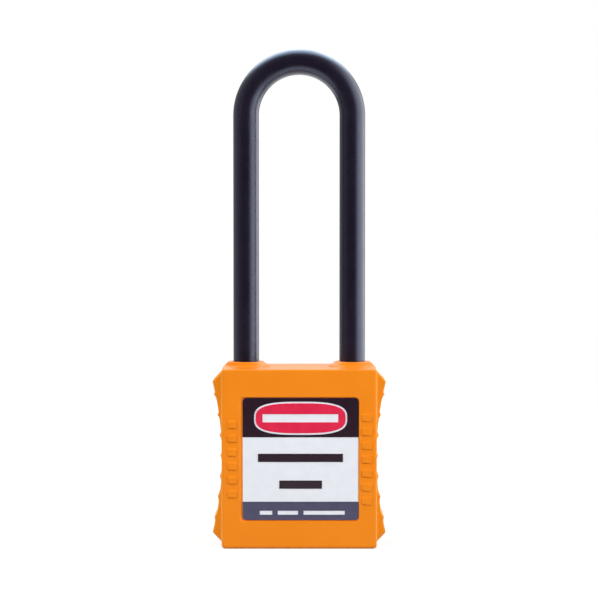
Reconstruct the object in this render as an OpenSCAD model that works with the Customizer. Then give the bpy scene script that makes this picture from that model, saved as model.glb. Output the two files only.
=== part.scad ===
// Lockout padlock: a moulded body with grip wings and a long moulded shackle.
// It stands on its base. The origin is at the middle of the base, in millimetres:
// X to the right, Y to the back, Z up. At rest it is closed, with the plug turned to open.

/* [Body] */
// Width of the front and back faces
body_w = 38; // [37.5:0.5:42]
// Depth from the front face to the back face
body_d = 20; // [19:0.5:24]
// Height of the body, without the collars of the shackle
body_h = 44; // [42.4:0.2:47]
// Thickness of the side walls, without the wings
side_wall = 1.9; // [1.5:0.1:2.1]
// Thickness of the front and back walls, outside the recesses
face_wall = 2.5; // [1.8:0.1:2.9]
// Thickness of the top wall
top_wall = 2; // [1.5:0.1:3]
// Rounding of the four corners, seen from the front
corner_r = 0.9; // [0.5:0.1:1.5]
// Bevel along the other edges of the front and back faces
edge_bevel = 0.4; // [0.2:0.1:0.8]

/* [Grip wings] */
// Width across the corners of the wings
wing_w = 42.8; // [41:0.2:46]
// Width across the waist of the wings
waist_w = 38.2; // [38:0.1:39.5]
// Thickness of the wings, front to back
wing_d = 10; // [7:0.5:14]
// Distance from the body's top and base to a wing's corners
wing_in = 3.3; // [2.8:0.1:4]
// Height of the slope that joins a wing's corner to the body
wing_slope_h = 2.6; // [1.5:0.1:2.7]
// Number of ribs on each wing
rib_count = 7; // [3:1:7]
// Distance between the ribs
rib_pitch = 5.05; // [3:0.05:5.1]
// Height of a rib's foot along the wing
rib_foot = 2.2; // [1:0.1:2.6]
// How far a rib stands out
rib_out = 0.4; // [0.2:0.1:0.8]

/* [Collars] */
// Height of the collars round the shackle legs
collar_h = 1.35; // [1.2:0.05:3]
// Diameter of a collar at its top
collar_top_d = 8.8; // [8:0.1:9.4]
// Diameter of a collar at the foot of its wall
collar_foot_d = 9.4; // [8.8:0.1:9.8]
// Radius of the hollow fillet round a collar's foot
collar_fillet = 0.9; // [0.4:0.05:1]
// Rounding of a collar's top edge
collar_round = 0.3; // [0.1:0.05:0.4]
// Width of the ramp that joins a collar to the side of the body
collar_ramp_w = 5; // [3:0.5:7]

/* [Recesses and labels] */
// Distance from the sides of the body to each label recess
recess_side = 4.4; // [3.6:0.05:5]
// Distance from the body's top and base to each label recess
recess_end = 6.8; // [5:0.05:8]
// Depth of each recess
recess_t = 0.5; // [0.45:0.05:0.9]
// Rounding of a recess's corners
recess_r = 1.1; // [0.5:0.1:2]
// Gap between a label and its recess on the right, seen from the front
label_right = 0.1; // [0.1:0.05:0.8]
// Gap between a label and its recess on the left
label_left = 0.8; // [0.1:0.05:1.5]
// Gap between a label and its recess above
label_above = 0.15; // [0.1:0.05:0.8]
// Gap between a label and its recess below
label_below = 0.35; // [0.1:0.05:0.8]
// Thickness of a label
label_t = 0.25; // [0.15:0.05:0.35]
// Rounding of a label's corners
label_r = 0.9; // [0.4:0.1:1.5]
// Thickness of the print on a label
ink_t = 0.1; // [0.05:0.01:0.12]
// Height of the black header field
header_h = 9.6; // [8.8:0.1:11]
// Height of the slate footer field
footer_h = 4.5; // [3:0.1:6]
// Width of the red oval
oval_w = 21.9; // [18:0.1:24]
// Height of the red oval
oval_h = 7.3; // [5:0.1:7.5]
// Width of the white rim round the oval
oval_rim = 0.42; // [0.2:0.02:0.5]
// How square the oval's ends are; 2 is an ellipse
oval_square = 3; // [2:0.1:3.5]
// Number of write-on lines on the back label
line_count = 4; // [2:1:6]

/* [Moulded bars] */
// How far the small bars beside the recess stand out
bar_out = 0.25; // [0.1:0.05:0.4]
// Height of each bar
bar_h = 1.9; // [0.8:0.1:2]
// Number of bars in the left row
left_bars = 6; // [3:1:7]
// Width of the bars in the left row
left_bar_w = 2.1; // [1:0.1:2.3]
// Number of bars in the right row
right_bars = 7; // [3:1:8]
// Width of the bars in the right row
right_bar_w = 2.4; // [1:0.1:2.8]
// Distance between the bars of a row
bar_pitch = 3.4; // [2.2:0.1:3.6]
// Distance from the recess to each row of bars
bar_side = 0.7; // [0.5:0.05:0.9]

/* [Shackle] */
// Diameter of the shackle's rod
rod_d = 6.35; // [5.5:0.05:6.6]
// Distance from the side of the body to the middle of each leg
leg_in = 5.825; // [5.6:0.025:6.2]
// Clear height under the arch, above the body
shackle_clear = 72.3; // [30:0.1:120]
// How far the shackle lifts when it is released
lift = 12; // [10.5:0.1:13]
// How far the toe leg is clear of its collar when the shackle is up
toe_out = 1.75; // [0.5:0.05:3]
// Bevel at the end of each leg
leg_bevel = 0.5; // [0.2:0.1:0.8]
// Length of the heel leg below its groove
heel_foot = 2.5; // [1.5:0.1:4]
// Diameter of the retaining pin
pin_d = 1.8; // [1.4:0.1:2]

/* [Shackle spring] */
// Thickness of the lock frame under the spring
heel_floor = 2.6; // [1.5:0.1:4]
// Length of the spring while the shackle is closed
spring_l = 7; // [5:0.5:9]
// Outer diameter of the spring
spring_d = 5.6; // [4.5:0.1:5.9]
// Diameter of its wire
spring_wire = 0.6; // [0.4:0.05:0.8]
// Number of turns
spring_turns = 7; // [5:1:8]

/* [Locking balls and cam] */
// Diameter of the locking balls
ball_d = 5; // [4.4:0.1:5.2]
// How far each ball travels between open and locked
ball_travel = 1.3; // [1:0.05:1.4]
// Height of the body's ceiling above the balls' centres
ball_drop = 2.9; // [2.8:0.1:4]
// Thickness of the cam
cam_t = 5.4; // [4:0.1:5.6]
// Diameter of the cam's stem
cam_stem_d = 8; // [7:0.1:9]

/* [Cylinder] */
// Depth of the cylinder's face inside the base
face_in = 0.3; // [0.1:0.05:0.8]
// Length of the cylinder's shell
shell_l = 28.9; // [28:0.1:29.5]
// Outer diameter of the shell
shell_d = 12.6; // [12.4:0.1:13]
// Diameter of the shell's nose in the base plate
nose_d = 11.6; // [11:0.1:12.2]
// Diameter of the plug
plug_d = 9.5; // [9:0.1:9.7]
// Diameter of the flange at the plug's face
flange_d = 10.4; // [10:0.1:10.8]
// Thickness of that flange
flange_t = 1; // [0.5:0.1:1.5]
// Reach of the shell's pin housing from the axis
bible_x = 12; // [11.5:0.1:12.6]
// Width of the shell's pin housing
bible_w = 4.4; // [3.6:0.1:5.4]
// Thickness of the strip that closes the pin chambers
cover_t = 0.4; // [0.2:0.05:0.6]
// Diameter of the groove for the plug's clip
groove_d = 7; // [6:0.1:7.6]
// Width of that groove
groove_w = 0.8; // [0.6:0.05:1]
// Thickness of the clip
clip_t = 0.6; // [0.4:0.05:0.7]
// Outer diameter of the clip
clip_d = 10.8; // [10.2:0.1:11.6]
// Width of the plug's tongue
tongue_w = 5; // [4:0.1:6]
// Thickness of the plug's tongue
tongue_t = 2; // [1.5:0.1:2.5]
// Length of the plug's tongue
tongue_l = 2.9; // [2:0.1:3]

/* [Pins] */
// Height of the first pin above the base
pin_z = 6.5; // [6:0.1:7]
// Distance between the pins
pin_pitch = 3.2; // [2.8:0.05:3.4]
// Diameter of the pins
pin_body_d = 2.4; // [2:0.05:2.6]
// Length of the driver pins
driver_l = 3; // [2.5:0.1:3.4]
// Length of the shortest key pin
key_pin_min = 3.2; // [3:0.1:3.4]
// Step between the key pins' lengths
key_pin_step = 0.45; // [0.3:0.05:0.45]
// Outer diameter of the pin springs
pin_spring_d = 2.3; // [1.8:0.05:2.3]
// Wire diameter of the pin springs
pin_spring_wire = 0.25; // [0.2:0.01:0.35]
// Number of turns of the pin springs
pin_spring_turns = 5; // [3:1:6]
// Width of the keyway
keyway_t = 1.8; // [1.4:0.1:2]

/* [Base] */
// Thickness of the base plate
base_t = 2.4; // [1.8:0.1:2.8]
// Diameter of the base rivets
rivet_d = 2; // [1.5:0.1:2.2]
// Diameter of the rivets' heads
rivet_head_d = 3.2; // [2.6:0.1:3.4]
// Length of the base rivets
rivet_l = 8; // [5:0.5:12]

/* [Hidden] */
$fn = 48;

// Colours
orange = "#f48a28";
black = "#2a242e";
brass = "#c8a448";
steel = "#b9bdc2";
white = "#e8ebf1";
red = "#e5355a";
slate = "#505066";

// Clearances
fit = 0.1;           // between pieces that stand still in each other
slide = 0.05;        // between a moving piece and its bore
leg_play = 0.075;    // round a shackle leg
ball_gap = 0.1;      // between a ball at rest and the leg or the cam
lock_gap = 0.15;     // between a locked ball and the flat of the heel leg
notch_gap = 0.25;    // round a locked ball in its notch
stop_gap = 0.2;      // between the retaining pin and the ends of its slot
over = 1;            // how far a cut runs past the face that it opens

// Wings and label recesses
waist_z = body_h / 2;
wing_h = body_h - 2 * wing_in;
recess_w = body_w - 2 * recess_side;
recess_h = body_h - 2 * recess_end;
recess_z = recess_end;

// Inside of the body
cavity_x = body_w / 2 - side_wall;
cavity_y = body_d / 2 - face_wall;
ceiling_z = body_h - top_wall;
frame_x = cavity_x - fit;
frame_y = cavity_y - fit;
frame_top = ceiling_z - fit;

// Shackle
rod_r = rod_d / 2;
bore_r = rod_r + leg_play;
leg_x = body_w / 2 - leg_in;
leg_gap = 2 * (leg_x - rod_r);
arch_z = body_h + shackle_clear - leg_gap / 2;
collar_z = body_h + collar_h;
toe_z = collar_z + toe_out - lift;
spring_floor = base_t + heel_floor;
heel_z = spring_floor + spring_l;
slot_z = heel_z + heel_foot;
pin_r = pin_d / 2;
retaining_z = slot_z + stop_gap + pin_r + lift;

// Balls and cam
ball_r = ball_d / 2;
ball_z = ceiling_z - ball_drop;
ball_x = leg_gap / 2 - ball_gap - ball_r;
ball_lock_x = ball_x + ball_travel;
slot_x = ball_lock_x + ball_r + lock_gap;
slot_core_r = leg_x - slot_x;
retaining_x = slot_x - slide - pin_r;
cam_low_r = ball_x - ball_r - ball_gap;
cam_high_r = cam_low_r + ball_travel;
cam_bore_r = cam_high_r + lock_gap;
cam_z = ball_z - cam_t / 2;

// Cylinder
quarter = 90;        // turn of the plug between open and locked
shell_z = face_in + shell_l;
plug_r = plug_d / 2;
plug_bore_r = plug_r + slide;
shoulder_z = shell_z + fit;
tail_z = shoulder_z + groove_w;
tail_h = 1;
tail_d = plug_d - 0.7;
tongue_z = tail_z + tail_h;
stem_z = tongue_z + fit;
keyway_end = shoulder_z - 0.5;
keyway_top = 2.6;
keyway_low = plug_r - 0.55;
ward_t = 0.55;       // how far a ward reaches into the keyway

// Pins
pin_code = [2, 4, 1, 5, 0, 3];   // steps of length, one for each key pin
pin_count = len(pin_code);
pin_body_r = pin_body_d / 2;
chamber_r = pin_body_r + slide;
pin_sink = 0.005;    // how far the rim of a key pin lies inside the plug's surface
key_pin_x = sqrt(plug_r * plug_r - pin_body_r * pin_body_r) - pin_sink;
chamber_spare = 0.3; // depth of a chamber beyond the longest key pin
chamber_in = key_pin_x - key_pin_min - max(pin_code) * key_pin_step - chamber_spare;
driver_x = plug_r + slide;
pin_spring_x = driver_x + driver_l + slide;
pin_tip_w = 0.5;
bible_end = 2.5;     // length of the pin housing beyond the outermost pins' axes
bible_z = pin_z - bible_end;
bible_top = pin_z + (pin_count - 1) * pin_pitch + bible_end;

// Rivets: distances from the inner faces of the side walls and of the front and back walls
rivet_side = 2.6;
rivet_face = 2.3;
rivet_x = cavity_x - rivet_side;
rivet_y = cavity_y - rivet_face;
rivet_head_h = 0.6;

// Labels: each lies toward the right of its recess, seen from its own side
label_w = recess_w - label_left - label_right;
label_h = recess_h - label_above - label_below;
label_x = (label_left - label_right) / 2;
label_z = recess_z + label_below;
label_top = label_z + label_h;
label_y = body_d / 2 - recess_t;
ink_y = label_y + label_t;
white_h = label_h - header_h - footer_h;
oval_drop = 0.16;    // how far the oval's middle lies below the header's
oval_z = label_top - header_h / 2 - oval_drop;

// Printed bars, each from its left end to its right end, measured from the label's middle
print_h = 2;
foot_print_h = 1;
line_h = 0.3;
long_bar = [-10.4, 10.3];
short_bar = [-5.2, 5.2];
oval_bar = [-9.3, 9.2];
foot_bars = [[-10, -6.9], [-5.6, -0.6], [0.7, 10.8]];
long_bar_z = label_top - header_h - white_h * 0.32;
short_bar_z = label_top - header_h - white_h * 0.735;
foot_bar_z = label_z + footer_h * 0.4;
line_margin = 2;     // from the ends of the write-on lines to the label's sides

// A rectangle from a to b with its corners rounded to radius r, as an outline
function round_rect(a, b, r, steps = 5) = [
    for (c = [[b[0] - r, b[1] - r, 0], [a[0] + r, b[1] - r, 90],
              [a[0] + r, a[1] + r, 180], [b[0] - r, a[1] + r, 270]])
        for (i = [0:steps])
            let (t = c[2] + 90 * i / steps)
            [c[0] + r * cos(t), c[1] + r * sin(t)]];

// A rectangle from a to b with its corners cut off by c
function bevel_rect(a, b, c) = [
    [a[0] + c, a[1]], [b[0] - c, a[1]], [b[0], a[1] + c], [b[0], b[1] - c],
    [b[0] - c, b[1]], [a[0] + c, b[1]], [a[0], b[1] - c], [a[0], a[1] + c]];

// A rounded oval of half width a and half height b round the point c
function oval(c, a, b, square, steps = 72) = [
    for (i = [0:steps - 1])
        let (u = cos(360 * i / steps), v = sin(360 * i / steps))
        [c[0] + a * sign(u) * pow(abs(u), 2 / square),
         c[1] + b * sign(v) * pow(abs(v), 2 / square)]];

// Half width of a wing at height z: an arc, hollow between the wing's corners
wing_sag = (wing_w - waist_w) / 2;
wing_arc_r = (wing_h * wing_h / 4 + wing_sag * wing_sag) / (2 * wing_sag);
function wing_x(z) =
    waist_w / 2 + wing_arc_r - sqrt(wing_arc_r * wing_arc_r - (z - waist_z) * (z - waist_z));
function rib_z(i) = waist_z + (i - (rib_count - 1) / 2) * rib_pitch;

// One side of the wings from its lower end to its upper end, with a ridge at each rib
wing_side = concat(
    [[body_w / 2 - fit, waist_z - wing_h / 2 - wing_slope_h],
     [wing_w / 2, waist_z - wing_h / 2]],
    [for (i = [0:rib_count - 1]) for (s = [-1, 0, 1])
        let (z = rib_z(i) + s * rib_foot / 2)
        [wing_x(z) + (s == 0 ? rib_out : 0), z]],
    [[wing_w / 2, waist_z + wing_h / 2],
     [body_w / 2 - fit, waist_z + wing_h / 2 + wing_slope_h]]);

// Extrudes an outline drawn in X and Z from y0 to y1
module along_y(y0, y1) {
    translate([0, y1, 0]) rotate([90, 0, 0]) linear_extrude(y1 - y0) children();
}

// Extrudes an outline drawn in Y and Z from x0 to x1
module along_x(x0, x1) {
    translate([x0, 0, 0]) rotate([90, 0, 90]) linear_extrude(x1 - x0) children();
}

// A box from corner a to corner b
module box(a, b) {
    translate(a) cube(b - a);
}

// A round bar of radius r along X from x0 to x1, at height z
module bar_x(r, x0, x1, z) {
    translate([x0, 0, z]) rotate([0, 90, 0]) cylinder(r = r, h = x1 - x0);
}

// Repeats its children on the front and, turned half round, on the back
module front_and_back() {
    for (a = [0, 180]) rotate([0, 0, a]) children();
}

// A round wire of radius wire_r wound round Z between z0 and z1
module coil(coil_r, wire_r, z0, z1, turns, steps, sides) {
    last = turns * steps;
    points = [for (i = [0:last]) for (k = [0:sides - 1])
        let (a = 360 * i / steps, b = 360 * k / sides, r = coil_r + wire_r * cos(b))
        [r * cos(a), r * sin(a),
         z0 + wire_r + (z1 - z0 - 2 * wire_r) * i / last + wire_r * sin(b)]];
    skin = [for (i = [0:last - 1]) for (k = [0:sides - 1])
        let (n = (k + 1) % sides)
        [i * sides + k, i * sides + n, (i + 1) * sides + n, (i + 1) * sides + k]];
    first_end = [for (k = [sides - 1:-1:0]) k];
    last_end = [for (k = [0:sides - 1]) last * sides + k];
    polyhedron(points, concat([first_end], skin, [last_end]), convexity = 8);
}

// The front and back slabs in one, rounded seen from the front and bevelled elsewhere
module body_block() {
    intersection() {
        along_y(-body_d / 2, body_d / 2)
            polygon(round_rect([-body_w / 2, 0], [body_w / 2, body_h], corner_r));
        translate([0, 0, -over]) linear_extrude(body_h + 2 * over)
            polygon(bevel_rect([-body_w / 2, -body_d / 2], [body_w / 2, body_d / 2], edge_bevel));
        along_x(-body_w / 2 - over, body_w / 2 + over)
            polygon(bevel_rect([-body_d / 2, 0], [body_d / 2, body_h], edge_bevel));
    }
}

module wings() {
    along_y(-wing_d / 2, wing_d / 2)
        polygon(concat(wing_side, [for (i = [len(wing_side) - 1:-1:0])
            [-wing_side[i][0], wing_side[i][1]]]));
}

// Section of a collar: a slightly tapered wall with a rounded top and a hollow fillet at its foot
module collar() {
    foot_r = collar_foot_d / 2;
    top_r = collar_top_d / 2;
    steps = 4;
    rotate_extrude() polygon(concat(
        [[0, body_h - over], [foot_r + collar_fillet, body_h - over]],
        [for (i = [0:steps]) let (t = 90 * i / steps)
            [foot_r + collar_fillet - collar_fillet * sin(t),
             body_h + collar_fillet - collar_fillet * cos(t)]],
        [for (i = [0:steps]) let (t = 90 * i / steps)
            [top_r - collar_round * (1 - cos(t)), collar_z - collar_round * (1 - sin(t))]],
        [[0, collar_z]]));
}

// Outline that the collars keep within, so that their outer flanks run down to the body's corners
module collar_limit() {
    top_x = leg_x + collar_top_d / 2 + slide;
    low_x = body_w / 2 - fit;
    low_z = waist_z + wing_h / 2 + wing_slope_h;
    polygon([[-low_x, 0], [low_x, 0], [low_x, low_z], [top_x, collar_z], [top_x, collar_z + over],
        [-top_x, collar_z + over], [-top_x, collar_z], [-low_x, low_z]]);
}

// Ramps from the collars out to the sides of the body
module collar_ramps() {
    front_and_back() box([leg_x, -collar_ramp_w / 2, body_h - over],
        [body_w / 2, collar_ramp_w / 2, collar_z - collar_round]);
}

// A row of small raised bars down the face, on side s of the recess
module bar_row(s, bar_w, count) {
    w = min(bar_w, recess_side - 2 * bar_side);
    x = s * (recess_w / 2 + bar_side + w / 2);
    mid_z = recess_z + recess_h / 2;
    round_r = 0.4;   // rounding of a bar's corners
    for (i = [0:count - 1]) {
        z = mid_z + (i - (count - 1) / 2) * bar_pitch;
        along_y(-body_d / 2 - bar_out, -body_d / 2 + fit)
            polygon(round_rect([x - w / 2, z - bar_h / 2], [x + w / 2, z + bar_h / 2], round_r, 3));
    }
}

module housing() {
    color(orange) difference() {
        union() {
            body_block();
            wings();
            intersection() {
                union() {
                    for (s = [-1, 1]) translate([s * leg_x, 0, 0]) collar();
                    collar_ramps();
                }
                along_y(-body_d / 2, body_d / 2) collar_limit();
            }
            front_and_back() {
                bar_row(-1, left_bar_w, left_bars);
                bar_row(1, right_bar_w, right_bars);
            }
        }
        box([-cavity_x, -cavity_y, -over], [cavity_x, cavity_y, ceiling_z]);
        for (s = [-1, 1]) translate([s * leg_x, 0, ceiling_z - over])
            cylinder(r = bore_r, h = top_wall + collar_h + 2 * over);
        front_and_back() along_y(-body_d / 2 - over, -body_d / 2 + recess_t)
            polygon(round_rect([-recess_w / 2, recess_z],
                [recess_w / 2, recess_z + recess_h], recess_r));
    }
}

// Places its children at both rivets, which stand in opposite corners
module at_rivets() {
    for (s = [-1, 1]) translate([s * rivet_x, s * rivet_y, 0]) children();
}

module base_plate() {
    color(orange) difference() {
        box([-frame_x, -frame_y, 0], [frame_x, frame_y, base_t]);
        translate([0, 0, -over]) cylinder(d = nose_d + 2 * fit, h = base_t + 2 * over);
        at_rivets() {
            translate([0, 0, -over]) cylinder(d = rivet_d + fit, h = base_t + 2 * over);
            translate([0, 0, -over]) cylinder(d = rivet_head_d + fit, h = over + rivet_head_h);
        }
    }
}

module base_rivets() {
    color(steel) at_rivets() {
        cylinder(d = rivet_head_d, h = rivet_head_h);
        cylinder(d = rivet_d, h = rivet_l);
    }
}

module lock_frame() {
    color(black) difference() {
        translate([0, 0, base_t]) linear_extrude(frame_top - base_t)
            polygon(bevel_rect([-frame_x, -frame_y], [frame_x, frame_y], edge_bevel));
        // Bores of the heel leg and the toe leg
        translate([-leg_x, 0, spring_floor]) cylinder(r = bore_r, h = frame_top - spring_floor + over);
        translate([leg_x, 0, toe_z - fit]) cylinder(r = bore_r, h = frame_top - toe_z + fit + over);
        // Pocket of the cylinder, with its slot for the pin housing
        translate([0, 0, base_t - over]) cylinder(d = shell_d + fit, h = tail_z + over + fit - base_t);
        box([0, -bible_w / 2 - fit, base_t - over],
            [bible_x + cover_t + fit, bible_w / 2 + fit, bible_top + fit]);
        // Chamber of the cam, and the channel of the balls
        translate([0, 0, tail_z]) cylinder(r = cam_bore_r, h = frame_top - tail_z + over);
        bar_x(ball_r + slide, -leg_x, leg_x, ball_z);
        // Holes of the retaining pin and the rivets
        translate([-retaining_x, frame_y + over, retaining_z]) rotate([90, 0, 0])
            cylinder(r = pin_r + slide, h = 2 * frame_y + 2 * over);
        at_rivets() translate([0, 0, base_t - over])
            cylinder(d = rivet_d + fit, h = rivet_l + over - base_t + fit);
    }
}

// One leg of the shackle, on side s, from the height of the arch's centre down by l
module leg(s, l) {
    translate([s * leg_x, 0, 0]) rotate_extrude() polygon([[0, -l], [rod_r - leg_bevel, -l],
        [rod_r, leg_bevel - l], [rod_r, 0], [0, 0]]);
}

module shackle() {
    groove_h = 2 * (pin_r + stop_gap);
    // The slot ends above the pin at rest, and above a locked ball when the shackle is up
    slot_top = max(retaining_z + pin_r + stop_gap, ball_z + ball_r + lock_gap - lift);
    $fn = 64;
    color(black) difference() {
        translate([0, 0, arch_z]) {
            leg(-1, arch_z - heel_z);
            leg(1, arch_z - toe_z);
            rotate([90, 0, 0]) rotate_extrude(angle = 180) translate([leg_x, 0]) circle(rod_r);
        }
        // Notches for the balls
        for (s = [-1, 1]) translate([s * ball_lock_x, 0, ball_z]) sphere(r = ball_r + notch_gap);
        // Slot of the retaining pin, which ends in a groove round the heel leg
        box([-slot_x, -rod_r - over, slot_z], [0, rod_r + over, slot_top]);
        translate([-leg_x, 0, slot_z]) difference() {
            cylinder(r = rod_r + over, h = groove_h);
            translate([0, 0, -over]) cylinder(r = slot_core_r, h = groove_h + 2 * over);
        }
    }
}

module shackle_spring() {
    color(steel) translate([-leg_x, 0, 0])
        coil(spring_d / 2 - spring_wire / 2, spring_wire / 2, spring_floor, heel_z,
            spring_turns, 16, 8);
}

module shackle_retaining_pin() {
    color(steel) translate([-retaining_x, frame_y - fit, retaining_z]) rotate([90, 0, 0])
        cylinder(r = pin_r, h = 2 * (frame_y - fit));
}

// A locking ball on side s, -1 for the left and 1 for the right
module locking_ball(s) {
    color(steel) translate([s * ball_x, 0, ball_z]) sphere(r = ball_r);
}

// Two lobes whose radius grows evenly with the turn; at rest the low sides face the balls
module locking_cam() {
    steps = 24;
    color(steel) difference() {
        union() {
            translate([0, 0, cam_z]) linear_extrude(frame_top - fit - cam_z)
                polygon([for (i = [0:4 * steps - 1])
                    let (t = 90 * i / steps, from_low = abs((t + 90) % 180 - 90),
                         r = cam_low_r + ball_travel * from_low / 90)
                    [r * cos(t), r * sin(t)]]);
            translate([0, 0, stem_z]) cylinder(d = cam_stem_d, h = cam_z - stem_z + fit);
        }
        in_plug() box([-tongue_w / 2 - fit, -tongue_t / 2 - fit, stem_z - over],
            [tongue_w / 2 + fit, tongue_t / 2 + fit, tongue_z + tongue_l + fit]);
    }
}

// Turns what is drawn with its pins along X into the plug's place at rest
module in_plug() {
    rotate([0, 0, -quarter]) children();
}

// Opens one chamber of radius chamber_r for each pin between x0 and x1
module chambers(x0, x1) {
    for (i = [0:pin_count - 1]) bar_x(chamber_r, x0, x1, pin_z + i * pin_pitch);
}

module cylinder_shell() {
    color(brass) difference() {
        union() {
            translate([0, 0, base_t]) cylinder(d = shell_d, h = shell_z - base_t);
            translate([0, 0, face_in]) cylinder(d = nose_d, h = base_t - face_in + fit);
            box([0, -bible_w / 2, bible_z], [bible_x, bible_w / 2, bible_top]);
        }
        translate([0, 0, face_in - over]) cylinder(r = plug_bore_r, h = shell_l + 2 * over);
        translate([0, 0, face_in - over]) cylinder(d = flange_d + fit, h = flange_t + over + slide);
        chambers(0, bible_x + over);
    }
}

module chamber_cover() {
    color(brass) box([bible_x, -bible_w / 2, bible_z], [bible_x + cover_t, bible_w / 2, bible_top]);
}

// Section of the keyway: a slot along X with a ward from each side
module keyway(low) {
    half = keyway_t / 2;
    polygon([[keyway_top, -half], [keyway_top, half], [1.3, half], [1.3, half - ward_t],
        [0.2, half - ward_t], [0.2, half], [-low, half], [-low, -half],
        [-2.2, -half], [-2.2, -half + ward_t], [-1.2, -half + ward_t], [-1.2, -half]]);
}

module cylinder_plug() {
    color(brass) in_plug() difference() {
        union() {
            translate([0, 0, face_in]) cylinder(d = flange_d, h = flange_t);
            translate([0, 0, face_in]) cylinder(r = plug_r, h = shoulder_z - face_in);
            translate([0, 0, shoulder_z - fit]) cylinder(d = groove_d, h = groove_w + 2 * fit);
            translate([0, 0, tail_z]) cylinder(d = tail_d, h = tail_h);
            box([-tongue_w / 2, -tongue_t / 2, tongue_z - fit],
                [tongue_w / 2, tongue_t / 2, tongue_z + tongue_l]);
        }
        translate([0, 0, face_in - over]) linear_extrude(keyway_end - face_in + over) keyway(keyway_low);
        translate([0, 0, face_in + flange_t]) linear_extrude(keyway_end - face_in - flange_t)
            keyway(plug_r + over);
        chambers(chamber_in, plug_r + over);
    }
}

module plug_clip() {
    mouth = 50;
    color(steel) in_plug() translate([0, 0, shoulder_z + (groove_w - clip_t) / 2])
        rotate([0, 0, mouth / 2]) rotate_extrude(angle = 360 - mouth, $fn = 64)
            translate([groove_d / 2 + slide, 0]) square([clip_d / 2 - groove_d / 2 - slide, clip_t]);
}

// Key pin number i, from 1, with a cone at the end that meets the key
module key_pin(i) {
    l = key_pin_min + pin_code[i - 1] * key_pin_step;
    color(brass) in_plug() translate([key_pin_x - l, 0, pin_z + (i - 1) * pin_pitch])
        rotate([0, 90, 0]) rotate_extrude($fn = 32)
            polygon([[0, 0], [pin_tip_w / 2, 0], [pin_body_r, pin_body_r - pin_tip_w / 2],
                [pin_body_r, l], [0, l]]);
}

// Driver pin number i, from 1, with both ends slightly bevelled
module driver_pin(i) {
    c = 0.2;
    color(steel) translate([driver_x, 0, pin_z + (i - 1) * pin_pitch])
        rotate([0, 90, 0]) rotate_extrude($fn = 32)
            polygon([[0, 0], [pin_body_r - c, 0], [pin_body_r, c], [pin_body_r, driver_l - c],
                [pin_body_r - c, driver_l], [0, driver_l]]);
}

// Spring number i, from 1, between its driver pin and the chamber's cover
module pin_spring(i) {
    r = min(pin_spring_d, pin_body_d) / 2 - pin_spring_wire / 2;
    color(steel) translate([0, 0, pin_z + (i - 1) * pin_pitch]) rotate([0, 90, 0])
        coil(r, pin_spring_wire / 2, pin_spring_x, bible_x - slide, pin_spring_turns, 12, 6);
}

// Puts an outline on the face of a label from depth y0 to y1, seen from the front
module on_face(y0, y1) {
    along_y(-y1, -y0) translate([label_x, 0]) children();
}

// A rectangle in the print, of height h round z, from ends[0] to ends[1]
module print_bar(ends, z, h) {
    translate([ends[0], z - h / 2]) square([ends[1] - ends[0], h]);
}

module label_outline() {
    polygon(round_rect([-label_w / 2, label_z], [label_w / 2, label_top], label_r));
}

module front_label() {
    color(white) on_face(label_y, ink_y) label_outline();
}

// The header field round the oval, and two bars on the white field
module label_black() {
    color(black) on_face(ink_y, ink_y + ink_t) {
        difference() {
            intersection() {
                label_outline();
                print_bar([-label_w / 2, label_w / 2], label_top - header_h / 2, header_h);
            }
            polygon(oval([0, oval_z], oval_w / 2 + oval_rim, oval_h / 2 + oval_rim, oval_square));
        }
        print_bar(long_bar, long_bar_z, print_h);
        print_bar(short_bar, short_bar_z, print_h);
    }
}

// The oval, with a white bar left open in it
module label_red() {
    color(red) on_face(ink_y, ink_y + ink_t) difference() {
        polygon(oval([0, oval_z], oval_w / 2, oval_h / 2, oval_square));
        print_bar(oval_bar, oval_z, print_h);
    }
}

// The footer field, with three short white bars left open in it
module label_slate() {
    color(slate) on_face(ink_y, ink_y + ink_t) difference() {
        intersection() {
            label_outline();
            print_bar([-label_w / 2, label_w / 2], label_z + footer_h / 2, footer_h);
        }
        for (b = foot_bars) print_bar(b, foot_bar_z, foot_print_h);
    }
}

module rear_label() {
    color(white) rotate([0, 0, 180]) on_face(label_y, ink_y) label_outline();
}

// Thin write-on lines, evenly spaced
module rear_label_lines() {
    color(black) rotate([0, 0, 180]) on_face(ink_y, ink_y + ink_t)
        for (i = [1:line_count])
            print_bar([line_margin - label_w / 2, label_w / 2 - line_margin],
                label_z + label_h * i / (line_count + 1), line_h);
}

housing();
base_plate();
base_rivets();
lock_frame();
shackle();
shackle_spring();
shackle_retaining_pin();
locking_ball(-1);  // locking_ball_left
locking_ball(1);  // locking_ball_right
locking_cam();
cylinder_shell();
cylinder_plug();
plug_clip();
chamber_cover();
key_pin(1);  // key_pin_1
key_pin(2);  // key_pin_2
key_pin(3);  // key_pin_3
key_pin(4);  // key_pin_4
key_pin(5);  // key_pin_5
key_pin(6);  // key_pin_6
driver_pin(1);  // driver_pin_1
driver_pin(2);  // driver_pin_2
driver_pin(3);  // driver_pin_3
driver_pin(4);  // driver_pin_4
driver_pin(5);  // driver_pin_5
driver_pin(6);  // driver_pin_6
pin_spring(1);  // pin_spring_1
pin_spring(2);  // pin_spring_2
pin_spring(3);  // pin_spring_3
pin_spring(4);  // pin_spring_4
pin_spring(5);  // pin_spring_5
pin_spring(6);  // pin_spring_6
front_label();
label_black();
label_red();
label_slate();
rear_label();
rear_label_lines();
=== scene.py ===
# %% [markdown]
# A lockout padlock: an orange moulded body with grip wings, and a long black moulded shackle.
# The construction is already packed as a frame of solids at their real size. This script gives
# them their looks: it rebuilds the body, the shackle and the label film as smooth surfaces, and
# gives every solid that stays a finish of its own. One millimetre of the lock is MM here, because
# Blender works in metres.

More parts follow.
